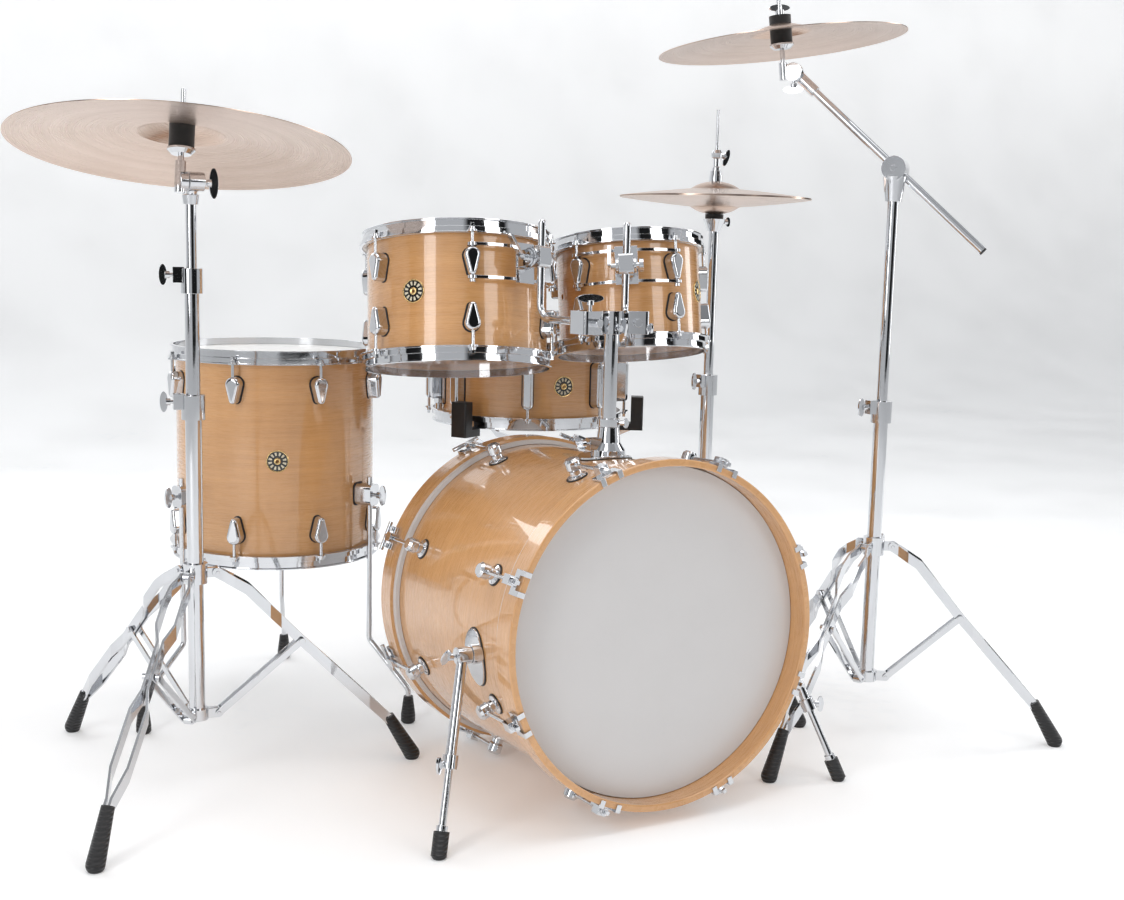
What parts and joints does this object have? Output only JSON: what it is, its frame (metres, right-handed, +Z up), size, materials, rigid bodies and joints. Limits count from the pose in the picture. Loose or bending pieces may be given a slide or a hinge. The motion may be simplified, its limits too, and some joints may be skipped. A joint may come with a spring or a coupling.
{
  "type": "acoustic drum kit",
  "caption": "Five-piece maple acoustic drum kit with kick, hung toms, floor tom, snare, hi-hat and two cymbals on folding stands.",
  "frame": {"origin": "middle of the kit's footprint, on the floor", "axes": "+Z up; -Y towards the audience, where the kick drum's front head faces; +X to the right seen from the audience"},
  "size_m": [1.6934, 1.1194, 1.2977],
  "materials": {
    "maple": "clear gloss lacquer over maple",
    "drum_head": "coated white film with an aluminium rim",
    "chrome": "polished",
    "bronze": "polished pale bronze, turned",
    "felt": "pressed black felt",
    "steel": "bright wire"
  },
  "bodies": {
    "kit": {"kick_shell": "maple", "kick_heads": "drum_head", "kick_hoops": "maple", "kick_lugs": "chrome", "kick_claws": "chrome", "kick_fittings": "chrome", "floor_tom_shell": "maple", "floor_tom_heads": "drum_head", "floor_tom_hoops": "chrome", "floor_tom_lugs": "chrome", "snare_stand": "chrome", "hihat_stand": "chrome", "hihat_bottom_cymbal": "bronze", "ride_pole": "chrome", "boom_stand": "chrome"},
    "left_spur": {"left_spur": "chrome"},
    "left_spur_leg": {"left_spur_leg": "chrome"},
    "right_spur": {"right_spur": "chrome"},
    "right_spur_leg": {"right_spur_leg": "chrome"},
    "tom_mount": {"tom_mount_post": "chrome"},
    "tom12_arm": {"tom12_arm": "chrome"},
    "tom12": {"tom12_shell": "maple", "tom12_heads": "drum_head", "tom12_hoops": "chrome", "tom12_lugs": "chrome", "tom12_bracket": "chrome"},
    "tom10_arm": {"tom10_arm": "chrome"},
    "tom10": {"tom10_shell": "maple", "tom10_heads": "drum_head", "tom10_hoops": "chrome", "tom10_lugs": "chrome", "tom10_bracket": "chrome"},
    "floor_tom_legs": {"floor_tom_legs": "chrome"},
    "snare": {"snare_basket": "chrome", "snare_shell": "maple", "snare_heads": "drum_head", "snare_hoops": "chrome", "snare_lugs": "chrome", "snare_wires": "steel"},
    "throw_off_lever": {"throw_off_lever": "chrome"},
    "hihat_pull": {"hihat_rod": "chrome", "hihat_top_cymbal": "bronze"},
    "hihat_pedal": {"hihat_pedal": "chrome"},
    "ride_collar": {"ride_collar": "chrome"},
    "ride_leg_1": {"ride_leg_1": "chrome"},
    "ride_brace_1": {"ride_brace_1": "chrome"},
    "ride_leg_2": {"ride_leg_2": "chrome"},
    "ride_brace_2": {"ride_brace_2": "chrome"},
    "ride_leg_3": {"ride_leg_3": "chrome"},
    "ride_brace_3": {"ride_brace_3": "chrome"},
    "ride_middle_tube": {"ride_middle_tube": "chrome"},
    "ride_top_tube": {"ride_top_tube": "chrome"},
    "ride_tilter": {"ride_tilter": "chrome", "ride_felts": "felt"},
    "ride_cymbal": {"ride_cymbal": "bronze"},
    "boom_mast": {"boom_mast": "chrome"},
    "boom_arm": {"boom_arm": "chrome"},
    "crash_tilter": {"crash_tilter": "chrome", "crash_felts": "felt"},
    "crash_cymbal": {"crash_cymbal": "bronze"}
  },
  "joints": [
    {"name": "right_spur_swing", "type": "hinge", "parent": "kit", "child": "right_spur", "pos_m": [0.28646, -0.41832, 0.262], "axis": [1, 0, 0], "range_deg": [-60, 0]},
    {"name": "right_spur_extend", "type": "slide", "parent": "right_spur", "child": "right_spur_leg", "axis": [0.2775, -0.3426, -0.8976], "range_m": [-0.035, 0]},
    {"name": "left_spur_swing", "type": "hinge", "parent": "kit", "child": "left_spur", "pos_m": [-0.27754, -0.41832, 0.262], "axis": [1, 0, 0], "range_deg": [-60, 0]},
    {"name": "left_spur_extend", "type": "slide", "parent": "left_spur", "child": "left_spur_leg", "axis": [-0.2775, -0.3426, -0.8976], "range_m": [-0.035, 0]},
    {"name": "tom_mount_height", "type": "slide", "parent": "kit", "child": "tom_mount", "axis": [0, 0, 1], "range_m": [0, 0.025]},
    {"name": "tom12_reach", "type": "slide", "parent": "tom_mount", "child": "tom12_arm", "axis": [-0.159, 0.9873, 0], "range_m": [-0.012, 0.003]},
    {"name": "tom12_tilt", "type": "hinge", "parent": "tom12_arm", "child": "tom12", "pos_m": [-0.06405, -0.21643, 0.84215], "axis": [0.9708, 0.2208, -0.0933], "range_deg": [0, 10]},
    {"name": "tom10_reach", "type": "slide", "parent": "tom_mount", "child": "tom10_arm", "axis": [0.4092, 0.9124, 0], "range_m": [-0.012, 0.003]},
    {"name": "tom10_tilt", "type": "hinge", "parent": "tom10_arm", "child": "tom10", "pos_m": [0.11436, -0.20743, 0.83271], "axis": [0.843, -0.5327, 0.0746], "range_deg": [0, 10]},
    {"name": "floor_tom_leg_height", "type": "slide", "parent": "kit", "child": "floor_tom_legs", "axis": [0, 0, 1], "range_m": [0, 0.05]},
    {"name": "snare_height", "type": "slide", "parent": "kit", "child": "snare", "axis": [0, 0, 1], "range_m": [-0.05, 0]},
    {"name": "throw_off", "type": "hinge", "parent": "snare", "child": "throw_off_lever", "pos_m": [-0.02086, 0.27048, 0.572], "axis": [-0.0698, -0.9976, 0], "range_deg": [0, 70]},
    {"name": "hihat_lift", "type": "slide", "parent": "kit", "child": "hihat_pull", "axis": [0, 0, 1], "range_m": [0, 0.02]},
    {"name": "hihat_pedal_hinge", "type": "hinge", "parent": "kit", "child": "hihat_pedal", "pos_m": [0.43374, 0.23604, 0.02], "axis": [-0.9976, 0.0698, 0], "range_deg": [0, 5.04]},
    {"name": "ride_fold", "type": "slide", "parent": "kit", "child": "ride_collar", "axis": [0, 0, 1], "range_m": [0, 0.08]},
    {"name": "ride_leg_1_fold", "type": "hinge", "parent": "ride_collar", "child": "ride_leg_1", "pos_m": [-0.54686, -0.07691, 0.341], "axis": [0.1392, 0.9903, 0], "range_deg": [0, 18.93]},
    {"name": "ride_brace_1_fold", "type": "hinge", "parent": "kit", "child": "ride_brace_1", "pos_m": [-0.54686, -0.07691, 0.112], "axis": [0.1392, 0.9903, 0], "range_deg": [-20.51, 0]},
    {"name": "ride_leg_2_fold", "type": "hinge", "parent": "ride_collar", "child": "ride_leg_2", "pos_m": [-0.5919, -0.04172, 0.341], "axis": [-0.9272, -0.3746, 0], "range_deg": [0, 18.93]},
    {"name": "ride_brace_2_fold", "type": "hinge", "parent": "kit", "child": "ride_brace_2", "pos_m": [-0.5919, -0.04172, 0.112], "axis": [-0.9272, -0.3746, 0], "range_deg": [-20.51, 0]},
    {"name": "ride_leg_3_fold", "type": "hinge", "parent": "ride_collar", "child": "ride_leg_3", "pos_m": [-0.59986, -0.09832, 0.341], "axis": [0.788, -0.6157, 0], "range_deg": [0, 18.93]},
    {"name": "ride_brace_3_fold", "type": "hinge", "parent": "kit", "child": "ride_brace_3", "pos_m": [-0.59986, -0.09832, 0.112], "axis": [0.788, -0.6157, 0], "range_deg": [-20.51, 0]},
    {"name": "ride_middle_height", "type": "slide", "parent": "kit", "child": "ride_middle_tube", "axis": [0, 0, 1], "range_m": [-0.08, 0]},
    {"name": "ride_top_height", "type": "slide", "parent": "ride_middle_tube", "child": "ride_top_tube", "axis": [0, 0, 1], "range_m": [-0.08, 0]},
    {"name": "ride_tilt", "type": "hinge", "parent": "ride_top_tube", "child": "ride_tilter", "pos_m": [-0.58754, -0.08432, 0.946], "axis": [1, 0, 0], "range_deg": [-10, 10]},
    {"name": "ride_spin", "type": "hinge", "parent": "ride_tilter", "child": "ride_cymbal", "pos_m": [-0.59167, -0.07251, 1.01465], "axis": [0.0981, 0.1687, 0.9808], "continuous": true},
    {"name": "boom_height", "type": "slide", "parent": "kit", "child": "boom_mast", "axis": [0, 0, 1], "range_m": [-0.04, 0.06]},
    {"name": "boom_tilt", "type": "hinge", "parent": "boom_mast", "child": "boom_arm", "pos_m": [0.56746, -0.34232, 1.008], "axis": [0.7761, 0.6306, 0], "range_deg": [-5, 12]},
    {"name": "crash_tilt", "type": "hinge", "parent": "boom_arm", "child": "crash_tilter", "pos_m": [0.45046, -0.19832, 1.174], "axis": [-0.7761, -0.6306, 0], "range_deg": [-8, 8]},
    {"name": "crash_spin", "type": "hinge", "parent": "crash_tilter", "child": "crash_cymbal", "pos_m": [0.4324, -0.18008, 1.25048], "axis": [-0.0954, 0.0656, 0.9933], "continuous": true}
  ],
  "couplings": [
    {"joint": "ride_leg_1_fold", "follows": "ride_fold", "rad_per_m": 4.1273},
    {"joint": "ride_brace_1_fold", "follows": "ride_fold", "rad_per_m": -4.4714},
    {"joint": "ride_leg_2_fold", "follows": "ride_fold", "rad_per_m": 4.1273},
    {"joint": "ride_brace_2_fold", "follows": "ride_fold", "rad_per_m": -4.4714},
    {"joint": "ride_leg_3_fold", "follows": "ride_fold", "rad_per_m": 4.1273},
    {"joint": "ride_brace_3_fold", "follows": "ride_fold", "rad_per_m": -4.4714},
    {"joint": "hihat_pedal_hinge", "follows": "hihat_lift", "rad_per_m": 4.386}
  ]
}
